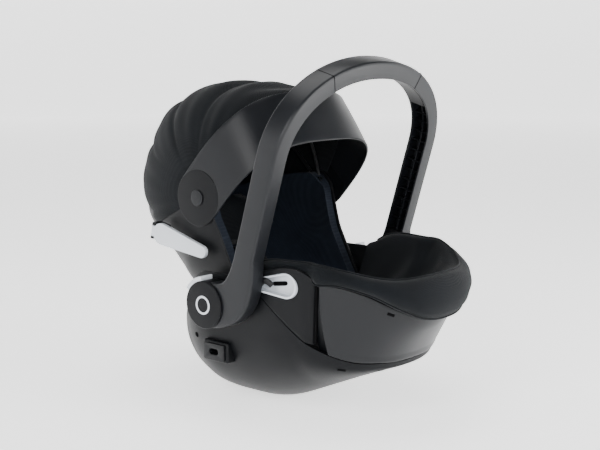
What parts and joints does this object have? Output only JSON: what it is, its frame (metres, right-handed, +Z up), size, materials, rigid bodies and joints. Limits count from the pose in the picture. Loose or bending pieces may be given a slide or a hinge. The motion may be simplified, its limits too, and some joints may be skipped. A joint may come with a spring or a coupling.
{
  "type": "infant car seat",
  "caption": "Portable infant car seat shell with a swinging carry handle, folding hood, reclining back, sliding leg rest, headrest, harness and fold-out side wings.",
  "frame": {"origin": "centre of the bounding box at the floor, under the feet of the shell", "axes": "+Z up, +Y towards the head end, -Y towards the toes, +X across the seat"},
  "size_m": [0.434, 0.6102, 0.5652],
  "materials": {
    "charcoal_plastic": "fine grained satin moulding",
    "black_plastic": "satin",
    "silver_plastic": "silver grey, semi gloss",
    "red_plastic": "semi gloss",
    "steel": "zinc plated",
    "black_fabric": "fine plain weave",
    "webbing": "narrow woven webbing",
    "foam": "expanded foam beads",
    "rubber": "matt"
  },
  "bodies": {
    "carrier": {"lower_shell": "charcoal_plastic", "foam_liner": "foam", "side_panel_left": "charcoal_plastic", "side_panel_right": "charcoal_plastic", "belt_guide_left": "silver_plastic", "belt_guide_right": "silver_plastic", "belt_hook_left": "black_plastic", "belt_hook_right": "black_plastic", "hub_mount_left": "charcoal_plastic", "hub_mount_right": "charcoal_plastic", "adapter_socket_left": "black_plastic", "adapter_socket_right": "black_plastic", "latch_bars": "steel", "rubber_feet": "rubber", "shell_screws": "steel", "rail_guides": "charcoal_plastic", "seat_cushion": "black_fabric", "crotch_strap": "webbing", "crotch_pad": "black_fabric", "buckle": "black_plastic", "strap_tongues": "steel", "adjuster_housing": "black_plastic"},
    "buckle_press": {"buckle_button": "red_plastic"},
    "adjuster_press": {"adjuster_button": "silver_plastic"},
    "leg_rest": {"leg_rest_shell": "charcoal_plastic", "leg_rest_rails": "steel", "leg_rest_cushion": "black_fabric", "foot_cover": "black_fabric"},
    "backrest": {"back_shell": "charcoal_plastic", "back_cushion": "black_fabric", "hood_pin_left": "steel", "hood_pin_right": "steel", "hood_fabric": "black_fabric", "shoulder_straps": "webbing", "shoulder_pads": "black_fabric", "wing_bracket_left": "black_plastic", "wing_bracket_right": "black_plastic", "wing_pin_left": "steel", "wing_pin_right": "steel"},
    "recline_lever": {"recline_handle": "black_plastic"},
    "headrest": {"headrest_shell": "black_plastic", "headrest_cushion": "black_fabric"},
    "hood": {"visor": "charcoal_plastic"},
    "bow_front": {"hood_bow_front": "black_plastic"},
    "bow_rear": {"hood_bow_rear": "black_plastic"},
    "wing_left": {"impact_wing_left": "silver_plastic"},
    "wing_right": {"impact_wing_right": "silver_plastic"},
    "handle": {"handle_frame": "charcoal_plastic", "grip_cover": "black_plastic", "hub_ring_left": "silver_plastic", "hub_ring_right": "silver_plastic"},
    "button_left": {"handle_button_left": "silver_plastic"},
    "button_right": {"handle_button_right": "silver_plastic"}
  },
  "joints": [
    {"name": "backrest_recline", "type": "hinge", "parent": "carrier", "child": "backrest", "pos_m": [0, 0.017, 0.18], "axis": [-1, 0, 0], "range_deg": [0, 16]},
    {"name": "leg_rest_slide", "type": "slide", "parent": "carrier", "child": "leg_rest", "axis": [0, -1, 0], "range_m": [0, 0.06]},
    {"name": "recline_lever_pull", "type": "slide", "parent": "backrest", "child": "recline_lever", "axis": [0, 0.7547, 0.6561], "range_m": [0, 0.008], "stiffness_N_per_m": 600},
    {"name": "headrest_height", "type": "slide", "parent": "backrest", "child": "headrest", "axis": [0, 0.7547, 0.6561], "range_m": [0, 0.04]},
    {"name": "hood_fold", "type": "hinge", "parent": "backrest", "child": "hood", "pos_m": [0, 0.077, 0.339], "axis": [-1, 0, 0], "range_deg": [0, 60]},
    {"name": "hood_bow_front_turn", "type": "hinge", "parent": "backrest", "child": "bow_front", "pos_m": [0, 0.077, 0.339], "axis": [-1, 0, 0], "range_deg": [0, 38]},
    {"name": "hood_bow_rear_turn", "type": "hinge", "parent": "backrest", "child": "bow_rear", "pos_m": [0, 0.077, 0.339], "axis": [-1, 0, 0], "range_deg": [0, 19]},
    {"name": "wing_left_swing", "type": "hinge", "parent": "backrest", "child": "wing_left", "pos_m": [-0.1665, 0.17993, 0.27589], "axis": [0, 0.2028, -0.9792], "range_deg": [0, 80]},
    {"name": "wing_right_swing", "type": "hinge", "parent": "backrest", "child": "wing_right", "pos_m": [0.1665, 0.17993, 0.27589], "axis": [0, -0.2028, 0.9792], "range_deg": [0, 80]},
    {"name": "handle_swing", "type": "hinge", "parent": "carrier", "child": "handle", "pos_m": [0, 0.017, 0.18], "axis": [-1, 0, 0], "range_deg": [0, 125]},
    {"name": "handle_button_left_press", "type": "slide", "parent": "handle", "child": "button_left", "axis": [0, -0.5592, -0.829], "range_m": [0, 0.003], "stiffness_N_per_m": 900},
    {"name": "handle_button_right_press", "type": "slide", "parent": "handle", "child": "button_right", "axis": [0, -0.5592, -0.829], "range_m": [0, 0.003], "stiffness_N_per_m": 900},
    {"name": "buckle_button_press", "type": "slide", "parent": "carrier", "child": "buckle_press", "axis": [0, 0.848, -0.5299], "range_m": [0, 0.004], "stiffness_N_per_m": 1200},
    {"name": "adjuster_button_press", "type": "slide", "parent": "carrier", "child": "adjuster_press", "axis": [0, 0, -1], "range_m": [0, 0.004], "stiffness_N_per_m": 900}
  ],
  "couplings": [
    {"joint": "leg_rest_slide", "follows": "backrest_recline", "m_per_rad": 0.2148},
    {"joint": "hood_bow_front_turn", "follows": "hood_fold", "ratio": 0.62},
    {"joint": "hood_bow_rear_turn", "follows": "hood_fold", "ratio": 0.3}
  ]
}
